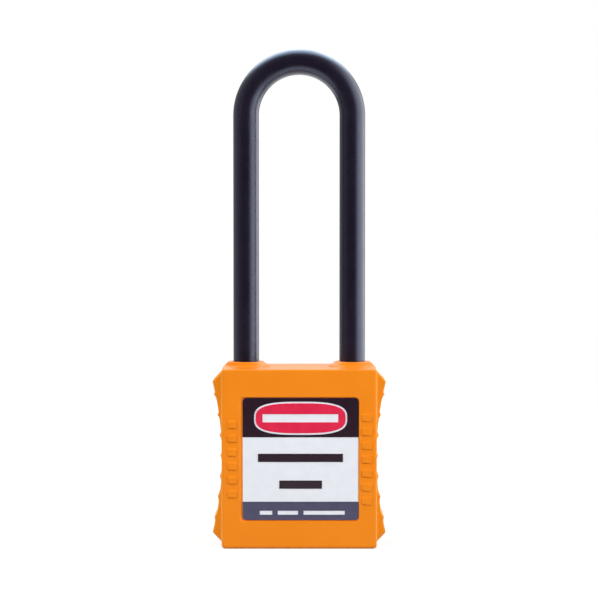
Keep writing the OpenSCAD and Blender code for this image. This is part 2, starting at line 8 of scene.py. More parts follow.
import bmesh
import bpy
import numpy as np
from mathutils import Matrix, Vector


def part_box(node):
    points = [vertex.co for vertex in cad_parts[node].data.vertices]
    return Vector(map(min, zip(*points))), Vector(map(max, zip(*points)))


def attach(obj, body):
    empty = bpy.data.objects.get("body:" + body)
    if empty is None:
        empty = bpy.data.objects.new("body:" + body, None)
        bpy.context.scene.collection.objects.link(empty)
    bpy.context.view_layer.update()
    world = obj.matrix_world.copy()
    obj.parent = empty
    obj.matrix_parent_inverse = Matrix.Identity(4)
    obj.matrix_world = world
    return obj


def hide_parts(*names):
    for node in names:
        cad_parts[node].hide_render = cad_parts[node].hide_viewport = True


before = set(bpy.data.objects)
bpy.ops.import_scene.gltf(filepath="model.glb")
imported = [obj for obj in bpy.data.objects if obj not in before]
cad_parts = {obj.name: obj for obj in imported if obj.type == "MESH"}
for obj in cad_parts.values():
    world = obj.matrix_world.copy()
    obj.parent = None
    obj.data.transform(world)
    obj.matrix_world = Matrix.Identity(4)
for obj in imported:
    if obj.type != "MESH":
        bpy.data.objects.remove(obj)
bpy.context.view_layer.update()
MM = 0.001


def node_box(node):
    """Lowest and highest corner of a solid of the frame, in millimetres."""
    low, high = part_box(node)
    return np.array(low) / MM, np.array(high) / MM


# %% [markdown]
# The camera comes first, because everything else is judged through it. The photograph was taken
# with a long lens, almost level and a little above the body: the body's top face shows as a thin
# strip, and no side shows. A lens that is longer than the sensor is wide keeps the legs parallel.

# %% The camera
PHOTO_WIDTH = 598                   # pixels
SENSOR_WIDTH = 36                   # millimetres
FOCAL_LENGTH = 1791                 # in pixels of the photograph
CAMERA_AT = (-0.05, -445.0, 77.2)   # millimetres
CAMERA_DIP = np.radians(2.109)      # how far the camera looks down

camera_data = bpy.data.cameras.new("camera")
camera = bpy.data.objects.new("camera", camera_data)
bpy.context.scene.collection.objects.link(camera)
camera_data.sensor_width = SENSOR_WIDTH
camera_data.lens = SENSOR_WIDTH * FOCAL_LENGTH / PHOTO_WIDTH
camera_data.clip_start, camera_data.clip_end = 0.01, 20      # metres
camera.location = Vector(CAMERA_AT) * MM
camera.rotation_euler = (np.pi / 2 - CAMERA_DIP, 0, 0)
bpy.context.scene.camera = camera
print("lens", round(camera_data.lens, 1), "mm")

# %% [markdown]
# Every new piece is a set of grids. A grid is a table of points, worked out as whole arrays, whose
# neighbours make four-sided faces. Grids of one piece share their edge points, so laying them
# together and joining the points that coincide closes the piece. A face that loses a corner in
# this, as at a pole, becomes a triangle.

# %% From grids to a mesh
JOIN = 1e-5                       # points nearer than this, in millimetres, are one point
SHARP_DEGREES = 40                # a fold as steep as this is shaded as a sharp edge


def grid_faces(rows, columns, closed):
    """Corner numbers of the faces between neighbours in a rows x columns grid; closed joins the
    last column to the first."""
    i, j = np.meshgrid(np.arange(rows - 1), np.arange(columns - (not closed)), indexing="ij")
    k = (j + 1) % columns
    corners = [i * columns + j, i * columns + k, (i + 1) * columns + k, (i + 1) * columns + j]
    return np.stack(corners, -1).reshape(-1, 4)


def join_grids(grids):
    """Points and faces of several grids, each given as (points[rows, columns, 3], closed), with
    coinciding points joined. Returns the points, the quads and the triangles."""
    points, faces, start = [], [], 0
    for grid, closed in grids:
        rows, columns = grid.shape[:2]
        points.append(grid.reshape(-1, 3))
        faces.append(grid_faces(rows, columns, closed) + start)
        start += rows * columns
    points, faces = np.concatenate(points), np.concatenate(faces)
    key = np.round(points / JOIN).astype(np.int64)
    _, first, new_number = np.unique(key, axis=0, return_index=True, return_inverse=True)
    faces = new_number.reshape(-1)[faces]
    same_as_next = faces == np.roll(faces, -1, axis=1)
    quads = faces[~same_as_next.any(1)]
    triangles = [np.delete(faces[(same_as_next.sum(1) == 1) & same_as_next[:, c]], c, axis=1)
                 for c in range(4)]
    return points[first], quads, np.concatenate(triangles)


def piece(name, grids):
    """A closed, outward-facing mesh object made of grids whose points are in millimetres."""
    points, quads, triangles = join_grids(grids)
    mesh = bpy.data.meshes.new(name)
    mesh.from_pydata((points * MM).tolist(), [], quads.tolist() + triangles.tolist())
    work = bmesh.new()
    work.from_mesh(mesh)
    bmesh.ops.recalc_face_normals(work, faces=work.faces)
    open_edges = sum(not e.is_manifold for e in work.edges)
    work.to_mesh(mesh)
    work.free()
    mesh.shade_smooth()
    mesh.set_sharp_from_angle(angle=np.radians(SHARP_DEGREES))
    made = bpy.data.objects.new(name, mesh)
    bpy.context.scene.collection.objects.link(made)
    print(name, "has", len(mesh.polygons), "faces and", open_edges, "open edges")
    return made


def half_turn(grid):
    """The same grid turned half round the lock's upright axis."""
    return grid * np.array([-1.0, -1.0, 1.0])


def smooth(t):
    """0 below 0, 1 above 1, and an even S between them."""
    t = np.clip(t, 0, 1)
    return t * t * (3 - 2 * t)


# %% [markdown]
# The body is one moulding: a block with rounded edges, a wing on each side whose outline is hollow
# like a waist, seven thin ribs across each wing, a shallow recess for a label in front and behind,
# and two collars that the shackle runs through. It could be cut from blocks with Booleans, but
# their long faces shade badly beside small roundings. Here the wall is one grid instead: its
# columns follow the plan of the body once round, and its rows climb from the base to the top.
# Because the body looks the same from behind as from the front, only the right half is worked out,
# and the left half is that half turned round.

# %% Sizes of the body
housing_high = node_box("housing")[1]
body_half_w, body_half_d, body_h = 19.0, 10.0, 44.0
upright_round = 0.75              # rounding of the four upright edges
upright_round_end = 0.1           # what is left of it at the base and the top
face_round = 0.4                  # rounding of the edge above the front face
face_round_base = 0.8             # rounding of the edge below it
side_round = 0.9                  # rounding of the body's corners, seen from the front
flank_round = 0.28                # the same beside a collar
wing_half_w = float(housing_high[0])
waist_half_w = 19.1
wing_low, wing_top = 3.3, 40.7    # heights of a wing's two corners
slope_h = 2.6                     # height of the slope from a wing's corner to the body
slope_half_w = body_half_w - 0.1  # where that slope leaves the body
wing_softness = 0.12              # how much the wing's corners are smoothed
rib_count, rib_pitch, rib_out = 7, 5.05, 0.4
rib_below, rib_above = 1.5, 1.1   # how far a rib reaches down and up from its crest
rib_longest, rib_shrink = 1.15, 0.012   # factor for the lowest rib, and its loss per millimetre
rib_power = 1.7                   # 1 is a straight ridge, and more makes it slimmer
recess_half_w, recess_low, recess_top = 14.6, 6.8, 37.2
recess_mid_z = (recess_top + recess_low) / 2
recess_round = 1.1
collar_x, bore_r, collar_r = 13.175, 3.25, 4.4
collar_foot_r = 5.6               # where a collar's hollow foot meets the top face
collar_top = float(housing_high[2])
mid_z = body_h / 2
rib_z = mid_z + 0.3 + (np.arange(rib_count) - (rib_count - 1) / 2) * rib_pitch


def wing_edge(z):
    """Half width of the wings at height z: an arc that is hollow between the wing's corners, plus
    a small pointed wave at each rib, cut by a slope at either end and slightly smoothed there."""
    half_h = (wing_top - wing_low) / 2
    sag = wing_half_w - waist_half_w
    arc_r = (half_h ** 2 + sag ** 2) / (2 * sag)
    reach = np.clip(z - mid_z, -half_h - 1, half_h + 1)
    arc = waist_half_w + arc_r - np.sqrt(arc_r ** 2 - reach ** 2)
    from_rib = z[..., None] - rib_z
    longer = rib_longest - rib_shrink * (rib_z - wing_low)
    half_rib = np.where(from_rib < 0, rib_below, rib_above) * longer
    wave = np.clip(1 - np.abs(from_rib) / half_rib, 0, 1)
    arc = arc + rib_out * (wave ** rib_power).max(-1)
    lean = (wing_half_w - slope_half_w) / slope_h
    edges = np.stack([arc, slope_half_w + (z - wing_low + slope_h) * lean,
                      slope_half_w + (wing_top + slope_h - z) * lean])
    least = edges.min(0)
    return least - wing_softness * np.log(np.exp((least - edges) / wing_softness).sum(0))


print("half width at the wing's corner and waist:",
      wing_edge(np.array([wing_low, mid_z + rib_pitch / 2])).round(2))

# %% [markdown]
# The columns follow the plan from the middle of the front face to the middle of the side: the face,
# a rounded upright edge, the side, and then the wing, which stands out with a small hollow foot and
# a rounded edge. They crowd together where the surface turns, and lie far apart where it is flat.
# The quarter behind is their mirror image.

# %% Columns of the wall
# Distances inside the recess's outline at which rows and columns lie
RECESS_RINGS = np.array([2.2, 1.5, 1.1, .8, .5, .3, .2, .12, .06, .03, 0, -.05, -.12, -.3])
RIGHT_BAR_W, LEFT_BAR_W, BAR_H, BAR_OUT = 2.4, 2.1, 1.9, 0.25
BAR_PITCH, RIGHT_BARS, LEFT_BARS = 3.4, 7, 6
BAR_START = recess_half_w + 0.7   # where both rows of bars begin, beside the recess
BAR_EDGE = 0.055                  # half the width of a bar's steep edge, seen from the front
SUPPORT = 0.06                    # a column as near as this keeps an edge's shading crisp
WING_HALF_D, WING_LEAN = 5.0, 0.03      # the wing at its foot, and how much slimmer its edge is
WING_FOOT, WING_EDGE_H, WING_EDGE_D = 0.3, 0.4, 0.37    # its hollow foot and its rounded edge


def columns_of_quarter():
    """For each column: its place in the core of the plan, from -1 to 1 each way; the direction
    that the wall faces; and how the wing lifts it, as a share of the wing's height, a part of
    the foot's rounding and a part of the edge's rounding."""
    core_w = body_half_w - upright_round
    core_d = body_half_d - upright_round
    bar_x = [BAR_START + w + step for w in (0, LEFT_BAR_W, RIGHT_BAR_W)
             for step in (-2 * BAR_EDGE, -BAR_EDGE, 0, BAR_EDGE, 2 * BAR_EDGE)]
    x = np.concatenate([np.linspace(0, recess_half_w - 3.2, 8), recess_half_w - RECESS_RINGS,
                        sorted(bar_x), [BAR_START + LEFT_BAR_W / 2, core_w - SUPPORT, core_w]])
    x = np.unique(x[x <= core_w].round(4))
    turn = np.linspace(0, np.pi / 2, 6)[1:-1]
    foot, edge = np.linspace(0, np.pi / 2, 4), np.linspace(0, np.pi / 2, 5)
    side_y = -np.concatenate([
        [core_d, 8.9, 8.1, 7.2, 6.3, 5.6], WING_HALF_D + WING_FOOT * (1 - np.sin(foot)),
        [WING_HALF_D - WING_LEAN / 2], WING_HALF_D - WING_LEAN - WING_EDGE_D * (1 - np.cos(edge)),
        [4.3, 3.6, 2.9, 2.2, 1.5, 0.75, 0]])
    flat, on_foot, on_edge = 6, len(foot), len(edge)
    rest = len(side_y) - flat - on_foot - 1 - on_edge
    share = np.r_[np.zeros(flat + on_foot), .5, np.ones(on_edge + rest)]
    lift_foot = np.r_[np.zeros(flat), 1 - np.cos(foot), np.zeros(1 + on_edge + rest)]
    lift_edge = np.r_[np.zeros(flat + on_foot + 1), 1 - np.sin(edge), np.zeros(rest)]
    front = np.stack([x / core_w, -np.ones_like(x), 0 * x, -np.ones_like(x), 0 * x, 0 * x, 0 * x])
    corner = np.stack([np.ones(4), -np.ones(4), np.sin(turn), -np.cos(turn)] + [np.zeros(4)] * 3)
    one = np.ones_like(side_y)
    side = np.stack([one, side_y / core_d, one, 0 * one, share, lift_foot, lift_edge])
    return np.concatenate([front, corner, side], 1)


quarter = columns_of_quarter()
behind = quarter[:, -2::-1] * np.array([1, -1, 1, -1, 1, 1, 1])[:, None]
plan = np.concatenate([quarter, behind], 1)
core_x, core_y, face_x, face_y, wing_share, foot_part, edge_part = plan
print("the wall has", 2 * (core_x.size - 1), "columns")

# %% [markdown]
# The rows are heights. They crowd together at the ribs, at the lips of the recess, and at the small
# raised bars beside it. At the base and the top the wall turns in a quarter circle, whose radius is
# small on the faces and larger on the sides.

# %% Rows of the wall
TURN = np.linspace(0, np.pi / 2, 7)
LEAST_STEP = 0.04                 # two rows never lie nearer than this
FIRST_ROW, LAST_ROW = 1, body_h - 1     # the roundings at the base and the top lie beyond
PLAIN_ROWS = 43                   # rows at even distances between them
CORNER_STEPS = np.array([-2.1, -1.6, -1, -.5, -.25, -.1, .12, .3, .8])    # from a wing's corner
RIB_STEPS = (-1.3, -.9, -.55, -.3, -.13, 0, .13, .3, .55, .9)   # from a rib's crest
FLANK_HALF_D, FLANK_FADE = 2.2, 1.6     # the flank beside a collar, and how softly it ends

# The two rows of bars lie half a pitch apart
bar_rows = [mid_z + half * BAR_PITCH / 2 + side * (BAR_H / 2 + step)
            for half in range(1 - RIGHT_BARS, RIGHT_BARS) for side in (-1, 1)
            for step in (-BAR_EDGE, 0, BAR_EDGE)]
rib_rows = [z + step for z in rib_z for step in RIB_STEPS]
wanted = [*rib_z, *(recess_low + RECESS_RINGS), *(recess_top - RECESS_RINGS), wing_low, wing_top,
          *bar_rows, *rib_rows, *(wing_low + CORNER_STEPS), *(wing_top - CORNER_STEPS),
          *np.linspace(FIRST_ROW, LAST_ROW, PLAIN_ROWS)]
heights = []
for z in wanted:
    if FIRST_ROW <= z <= LAST_ROW and all(abs(z - kept) > LEAST_STEP for kept in heights):
        heights.append(z)
heights = np.array(sorted(heights))[:, None]

# Rounding of each column at the base and at the top
side_y = np.abs(core_y) * (body_half_d - upright_round)
base_side = np.full_like(core_x, side_round)
beside_collar = 1 - smooth((side_y - FLANK_HALF_D) / FLANK_FADE)
top_side = side_round + (flank_round - side_round) * beside_collar


def turned_rows(face_radius, side_radius, turn):
    """Inset towards the middle from 0 to 1, and the height of each column's point below the end,
    for quarter circles whose radius is face_radius on the faces and side_radius on the sides."""
    radius = face_radius * face_y ** 2 + side_radius * face_x ** 2
    return (1 - np.cos(turn))[:, None] + 0 * radius, radius * (1 - np.sin(turn))[:, None]


low_inset, low_z = turned_rows(face_round_base, base_side, TURN[::-1])
top_inset, top_drop = turned_rows(face_round, top_side, TURN)
wall_inset = np.concatenate([low_inset, np.zeros((heights.size, core_x.size)), top_inset])
wall_z = np.concatenate([low_z, heights + 0 * core_x, body_h - top_drop])
wall_side = np.concatenate([0 * low_z + base_side, 0 * heights + base_side,
                            0 * top_drop + top_side])
wall_face = np.where(wall_z < mid_z, face_round_base, face_round)
print("the wall has", wall_z.shape[0], "rows")

# %% [markdown]
# Now the wall itself. A point of the wall is the core point of its column, pushed out by the
# rounding. On the faces it then sinks into the recess, and rises at the small bars. The recess has
# round corners, and a grid of straight rows and columns would cut them in steps. So the rows and
# columns near a corner are bent: a point that lies on the recess's outline slides onto the corner's
# arc, and its neighbours follow it less and less.

# %% The face: its recess and its bars
# Depth of the recess at distances inside its outline; beside a label's wide gap it falls gently
RECESS_PROFILE = ([-.12, -.05, 0, .03, .06, .12, .2, .3], [0, .015, .08, .2, .38, .46, .49, .5])
WIDE_GAP_PROFILE = ([-.12, -.05, 0, .12, .3, .5, .7], [0, .015, .06, .17, .32, .44, .5])
BEND_REACH = 1.5                  # how far from the outline a corner still bends the grid
BAR_CORNER = 0.4                  # rounding of a bar's corners


def recess_ring(x, z):
    """How far a face point lies inside the recess's outline, before its corners are rounded."""
    return recess_half_w - np.abs(x), recess_top - recess_mid_z - np.abs(z - recess_mid_z)


def bend_to_corners(x, z):
    """Face points moved so that the recess's outline turns in arcs of recess_round."""
    in_x, in_z = recess_ring(x, z)
    ring = np.minimum(in_x, in_z)
    along = np.maximum(in_x, in_z) - ring
    angle = np.pi / 4 * np.clip(1 - along / recess_round, 0, 1)
    slip = np.where(along < recess_round, recess_round * (1 - np.sin(angle)) - along, 0)
    inward = recess_round * (1 - np.cos(angle))
    follow = np.clip(1 - np.abs(ring) / BEND_REACH, 0, 1)
    on_side = in_x < in_z
    move_x = np.where(on_side, inward, slip) * follow
    move_z = np.where(on_side, slip, inward) * follow
    return x - np.sign(x) * move_x, z - np.sign(z - recess_mid_z) * move_z


def bar_height(x, z, count, width):
    """Height of a row of rounded bars over the face: 1 inside a bar and 0 outside, with a narrow
    slope at its edge, from the distance to a rectangle with round corners."""
    middle = mid_z + (np.arange(count) - (count - 1) / 2) * BAR_PITCH
    from_middle = np.abs(z[..., None] - middle).min(-1)
    out_x = np.abs(x - BAR_START - width / 2) - width / 2 + BAR_CORNER
    out_z = from_middle - BAR_H / 2 + BAR_CORNER
    away = np.hypot(np.maximum(out_x, 0), np.maximum(out_z, 0)) - BAR_CORNER
    away = away + np.minimum(np.maximum(out_x, out_z), 0)
    return BAR_OUT * smooth((BAR_EDGE - away) / (2 * BAR_EDGE))


print("the recess is", RECESS_PROFILE[1][-1], "mm deep and a bar stands", BAR_OUT, "mm out")

# %% [markdown]
# With the face's forms in hand, the whole wall can be placed at once: rounding, wing, bend and
# depth are each a line that works on every row and column.

# %% The wall
def wall_points():
    """The right half of the wall, from the middle of the front to the middle of the back: the core
    point, plus the rounding, plus the wing on the side, less the recess and plus the bars."""
    radius = upright_round - (upright_round - upright_round_end) * wall_inset
    x = core_x * (body_half_w - wall_side * wall_inset - radius) + radius * face_x
    y = core_y * (body_half_d - wall_face * wall_inset - radius) + radius * face_y
    stand_out = np.maximum(wing_edge(wall_z) - x, 0) * (face_x == 1)
    foot, edge = np.minimum(WING_FOOT, stand_out / 2), np.minimum(WING_EDGE_H, stand_out / 2)
    x = x + wing_share * stand_out + foot_part * foot - edge_part * edge
    on_face = (np.abs(face_y) == 1) & (wall_inset == 0)
    face_at_x, face_at_z = bend_to_corners(x, wall_z)
    in_x, in_z = recess_ring(x, wall_z)
    side_depth = np.where(core_y < 0, np.interp(in_x, *RECESS_PROFILE),
                          np.interp(in_x, *WIDE_GAP_PROFILE))
    depth = np.minimum(side_depth, np.interp(in_z, *RECESS_PROFILE))
    bars = np.where(core_y < 0, bar_height(x, wall_z, RIGHT_BARS, RIGHT_BAR_W),
                    bar_height(x, wall_z, LEFT_BARS, LEFT_BAR_W))
    y = np.where(on_face, y - face_y * (depth - bars), y)
    return np.stack([np.where(on_face, face_at_x, x), y, np.where(on_face, face_at_z, wall_z)], -1)


wall = wall_points()
print("the wall is", (wall.max((0, 1)) - wall.min((0, 1))).round(2), "mm, right half")

# %% [markdown]
# The top closes the wall. Rings run from the mouth of a bore out to the edge of the top face, so
# that the collar is round and the outline stays square. A collar has a flat rim, a rounded edge and
# a hollow foot. Toward the side there is no room for the hollow, and the foot becomes a full
# flank that runs on into the slope of the wing; a like flank falls toward the middle.

# %% The edge of the top
MIDDLE_POINTS = 14                # points on the line where the two halves of the top meet
middle_y = np.linspace(1, -1, MIDDLE_POINTS + 2)[1:-1] * wall[-1, -1, 1]
middle_line = np.stack([0 * middle_y, middle_y, 0 * middle_y + body_h], -1)
top_edge = np.concatenate([wall[-1], middle_line])
out = top_edge[:, :2] - np.array([collar_x, 0])
reach = np.hypot(*out.T)
ring_angle = np.arctan2(out[:, 1], out[:, 0])
print("a ring round a bore has", reach.size, "points, and the top's edge lies",
      reach.min().round(2), "to", reach.max().round(2), "mm from the bore's middle")

# %% [markdown]
# A collar's section is a short list of points: up from the bore over the lip, across the flat rim
# and round its edge. Two shares say what follows in each direction. Where there is room the foot
# is hollow, and where straight nears 1 it is a flank; inward is the share of the flank that falls
# toward the middle.

# %% The collars and the top
RIM_ROUND, LIP_ROUND, LIP_BEVEL = 0.3, 0.2, 0.06
RIM_FLAT_R = 3.6                  # a ring on the flat rim
FOOT_MARGIN = 0.02                # a foot stays this far inside the top's edge
RIM_MARGIN = 0.05                 # and a flank this far inside the collar at the rim
INWARD_FROM, INWARD_FADE = 0.15, 0.75   # where the flank toward the middle sets in
INNER_FOOT, INNER_TOP = 0.3, 0.4  # the inner flank: how much further its foot, and lower its rim
FLANK_START, FLANK_BLEND = 0.7, 0.75    # how far past the foot's reach a flank sets in
FLANK_POWER, HOLLOW_POWER = 1.4, 1.6    # how the flank and the hollow curve
step = np.linspace(np.pi / 2, 0, 6)
collar_profile = [(bore_r, collar_top - LIP_ROUND), (bore_r + LIP_BEVEL, collar_top - LIP_BEVEL),
                  (bore_r + LIP_ROUND, collar_top), (RIM_FLAT_R, collar_top)]
collar_profile += list(zip(collar_r - RIM_ROUND + RIM_ROUND * np.cos(step),
                           collar_top - RIM_ROUND + RIM_ROUND * np.sin(step)))
inward = smooth((-np.cos(ring_angle) - INWARD_FROM) / INWARD_FADE)
foot_reach = np.minimum(collar_foot_r, reach - FOOT_MARGIN) + INNER_FOOT * inward
flank_top = collar_r - RIM_MARGIN - INNER_TOP * inward
straight = np.maximum(smooth((collar_foot_r + FLANK_START - reach) / FLANK_BLEND), inward)


def flank_radius(z):
    """Radius of the flank at height z: it falls from the rim to the foot, a little steeper as it
    goes."""
    climb = np.clip((z - body_h) / (collar_top - body_h), 0, 1)
    return foot_reach + (flank_top - foot_reach) * climb ** FLANK_POWER


def top_rings():
    """Rings of the top's right half: first the collar's profile, then its foot, then the flat."""
    rings = [(0 * reach + r, 0 * reach + z) for r, z in collar_profile[:4]]
    rings += [(r + straight * np.maximum(flank_radius(z) - r, 0), 0 * reach + z)
              for r, z in collar_profile[4:]]
    foot_top = collar_profile[-1][1] - body_h
    for fall in np.linspace(0, 1, 9)[1:]:
        angle = np.pi / 2 * (1 - fall)
        height = foot_top * ((1 - straight) * (1 - np.cos(angle)) + straight * (1 - fall))
        hollow = collar_r + (foot_reach - collar_r) * (1 - np.sin(angle)) ** HOLLOW_POWER
        flank = flank_radius(body_h + foot_top * (1 - fall))
        rings.append((hollow + (flank - hollow) * straight, body_h + height))
    for share in (0.06, 0.3, 0.65):
        rings.append((foot_reach + (reach - foot_reach) * share, 0 * reach + body_h))
    radius, z = (np.array(part) for part in zip(*rings))
    x, y = collar_x + radius * np.cos(ring_angle), radius * np.sin(ring_angle)
    return np.concatenate([np.stack([x, y, z], -1), top_edge[None]])


top = top_rings()
print("the top reaches", top[..., 2].max().round(2), "mm")

# %% [markdown]
# The body is hollow. The inside is hidden by the lock's frame, so it stays plain: a straight pocket
# that is open below, and the two bores that lead from its ceiling up through the collars.

# %% The inside, and the finished body
cavity_half_w, cavity_half_d, ceiling = 17.1, 7.5, 42.0
CAVITY_ROUND = 0.3                # rounding of its upright edges
cavity_x = core_x * (cavity_half_w - CAVITY_ROUND) + CAVITY_ROUND * face_x
cavity_y = core_y * (cavity_half_d - CAVITY_ROUND) + CAVITY_ROUND * face_y
cavity_z = np.array([0, 0.5 * ceiling, ceiling])[:, None]
cavity = np.stack(np.broadcast_arrays(cavity_x, cavity_y, cavity_z), -1)
rim = np.stack([cavity[0], wall[0]])

bore_z = np.array([ceiling, 42.6, 43.8, collar_top - LIP_ROUND])[:, None]
bore = np.stack(np.broadcast_arrays(top[0, :, 0], top[0, :, 1], bore_z), -1)
middle_ceiling = middle_line * np.array([1, cavity_half_d / wall[-1, -1, 1], 0]) + [0, 0, ceiling]
ceiling_edge = np.concatenate([cavity[-1], middle_ceiling])
share = np.array([0, 0.4, 1])[:, None, None]
ceiling_rings = bore[0] * (1 - share) + ceiling_edge * share

right_half = [(wall, False), (top, True), (rim, False), (cavity, False), (bore, True),
              (ceiling_rings, True)]
body = piece("padlock_body", right_half + [(half_turn(g), closed) for g, closed in right_half])
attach(body, "lock_body")
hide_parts("housing")

# %% [markdown]
# The shackle is one rod with a U shape, moulded in black nylon. A curve with a round bevel would do
# for its outside. But each leg has a notch for its locking ball, and the heel leg a long flat and a
# groove for its retaining pin, and these show when the shackle is up. So the rod is a profile that
# is carried along the path, and its radius depends on the height and on the direction round the
# rod: it is the shortest way from the middle of the rod to whichever cut lies nearest.

# %% Sizes of the shackle
shackle_low, shackle_high = node_box("shackle")
leg_x = collar_x
rod_r = float(shackle_high[0]) - leg_x
arch_z = float(shackle_high[2]) - leg_x - rod_r
heel_z, toe_z = float(shackle_low[2]), 35.1
END_BEVEL = 0.5
SEAM_H = 0.01                     # height of the fine line where the mould's halves met
SEAM_W = np.radians(1.2)          # its half width, as an angle round the rod
ball_z, ball_x, notch_r = 39.1, 8.7, 2.75
slot_low, slot_top, groove_top = 14.5, 29.75, 16.7
core_r = 1.825                    # radius of the groove's core, and distance of the flat

# Directions round the rod, crowded at the two mould lines
seam = np.radians([-4, -2, -0.8, 0, 0.8, 2, 4])
turn = np.concatenate([seam, np.linspace(0, np.pi, 30)[2:-2], seam + np.pi,
                       np.linspace(np.pi, 2 * np.pi, 30)[2:-2]])
plain_r = rod_r - SEAM_H + SEAM_H * np.exp(-(np.sin(turn) / np.sin(SEAM_W)) ** 2)
print("the rod is", round(2 * rod_r, 2), "mm thick, with", turn.size, "points round it")

# %% The radius of a leg
def leg_radius(z, end, is_heel):
    """Radius of a leg at heights z (down) and directions turn (across), where direction 0 faces
    outwards: the rod, its bevelled end, the ball's notch, and the heel leg's flat and groove."""
    z = z[:, None]
    inward = -np.cos(turn)
    radius = np.minimum(plain_r, rod_r - END_BEVEL + (z - end))
    centre = leg_x - ball_x
    inside = (centre * inward) ** 2 - (centre ** 2 + (z - ball_z) ** 2 - notch_r ** 2)
    entry = centre * inward - np.sqrt(np.maximum(inside, 0))
    radius = np.where((inside > 0) & (entry > 0), np.minimum(radius, entry), radius)
    if is_heel:
        flat = core_r / np.maximum(inward, 1e-6)
        radius = np.where((z > slot_low) & (z < slot_top), np.minimum(radius, flat), radius)
        radius = np.where((z > slot_low) & (z < groove_top), np.minimum(radius, core_r), radius)
    return radius


print("the notch leaves", leg_radius(np.array([ball_z]), toe_z, False).min().round(2),
      "mm from the rod's middle to its floor")

# %% [markdown]
# The rings of a leg crowd where a cut begins or ends. A leg is worked out upright, and the arch is
# the same ring swung through half a turn; heel leg, arch and toe leg then make one long grid.

# %% The rod
ARCH_RINGS = 73
NOTCH_STEPS = np.array([0, .6, 1.2, 1.6, 2, 2.2, 2.38, 2.45, 2.6])
notch_rows = ball_z + np.concatenate([-NOTCH_STEPS[:0:-1], NOTCH_STEPS])
cut_rows = [z + s for z in (slot_low, slot_top, groove_top) for s in (-.15, -.01, .01, .15)]
end_rows = np.array([0, 0.12, 0.3, END_BEVEL, 0.8, 1.5])
leg_rows = np.arange(48, arch_z, 6.0)
heel_rows = np.array(sorted([*(heel_z + end_rows), *cut_rows, *notch_rows, *leg_rows, 20, 25, 33]))
toe_rows = np.array(sorted([*(toe_z + end_rows[:-1]), *notch_rows, *leg_rows]))


def leg(side, rows, end):
    """A leg from its end up to the arch, as rings round the upright line at side * leg_x."""
    radius = leg_radius(rows, end, side < 0)
    middle = np.zeros_like(radius[:1])
    radius, z = np.concatenate([middle, radius]), np.r_[end, rows][:, None] + 0 * turn
    return np.stack([side * (leg_x + radius * np.cos(turn)), radius * np.sin(turn), z], -1)


heel_leg, toe_leg = leg(-1, heel_rows, heel_z), leg(1, toe_rows, toe_z)
bend = np.linspace(np.pi, 0, ARCH_RINGS)[:, None]
away = leg_x + plain_r * np.cos(turn)
arch = np.stack([away * np.cos(bend), plain_r * np.sin(turn) + 0 * bend,
                 arch_z + away * np.sin(bend)], -1)
shackle = piece("moulded_shackle", [(np.concatenate([heel_leg, arch, toe_leg[::-1]]), True)])
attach(shackle, "shackle_body")
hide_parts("shackle")

# %% [markdown]
# The label is a stiff printed film, glued into the recess. Its edges are cut, so they are crisp,
# but the clear layer over the print rounds them a little. The film is an outline of straight
# stretches and arcs, repeated as rings: up the cut edge, over the small rounding and in to the
# middle.

# %% The label films
film_low, film_high = node_box("front_label")
FILM_CORNER, FILM_EDGE = 0.9, 0.08
FILM_RING, LEAST_CORNER = 0.5, 0.2      # inset of the last ring, and its least rounding
FILM_POINTS = 64                  # points of one ring


def rounded_outline(half_w, half_h, radius):
    """A rectangle with round corners, as (x, z) points round its middle: each point is a corner's
    centre plus the radius in the direction of the turn."""
    angle = np.linspace(0, 2 * np.pi, FILM_POINTS, endpoint=False) + np.pi / FILM_POINTS
    centre = np.stack([np.sign(np.cos(angle)) * (half_w - radius),
                       np.sign(np.sin(angle)) * (half_h - radius)], -1)
    return centre + radius * np.stack([np.cos(angle), np.sin(angle)], -1)


def film(name, low, high, turned):
    """A thin plate between two corners, with its front edge rounded: rings of the outline, each
    with its inset and its depth. turned puts it on the back."""
    middle, (half_w, _, half_h) = (high + low) / 2, (high - low) / 2
    back, front = high[1], low[1]
    rings = [(half_w, back), (0, back), (0, front + FILM_EDGE)]
    rings += [(FILM_EDGE * (1 - np.cos(a)), front + FILM_EDGE * (1 - np.sin(a)))
              for a in np.linspace(0, np.pi / 2, 4)[1:]]
    rings += [(FILM_RING, front), (half_w, front)]
    grid = []
    for inset, y in rings:
        if inset >= half_w:
            flat = np.zeros((FILM_POINTS, 2))
        else:
            corner = max(FILM_CORNER - inset, LEAST_CORNER)
            flat = rounded_outline(half_w - inset, half_h - inset, corner)
        x, z = (flat + middle[[0, 2]]).T
        grid.append(np.stack([x, np.full(FILM_POINTS, y), z], -1))
    grid = np.array(grid)
    return piece(name, [(half_turn(grid) if turned else grid, True)])


front_film = film("label_film", film_low, film_high, False)
rear_film = film("rear_label_film", film_low, film_high, True)
for made, node in ((front_film, "front_label"), (rear_film, "rear_label")):
    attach(made, "lock_body")
    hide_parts(node)

# %% [markdown]
# Finishes. A moulded plastic is one colour through and through, and what makes it look moulded is
# its skin: a fine grain from the eroded mould, a slightly uneven gloss, and a colour that drifts by
# a few percent over a centimetre. So each plastic is a Principled shader whose colour and roughness
# wander with soft noise, and whose grain is a bump about a hundredth of a millimetre high.

# %% Node helpers
def linear(r, g, b):
    """The linear colour of an sRGB colour given from 0 to 255."""
    c = np.array([r, g, b]) / 255
    c = np.where(c <= 0.04045, c / 12.92, ((c + 0.055) / 1.055) ** 2.4)
    return (*c.tolist(), 1.0)


WHITE = (1, 1, 1, 1)


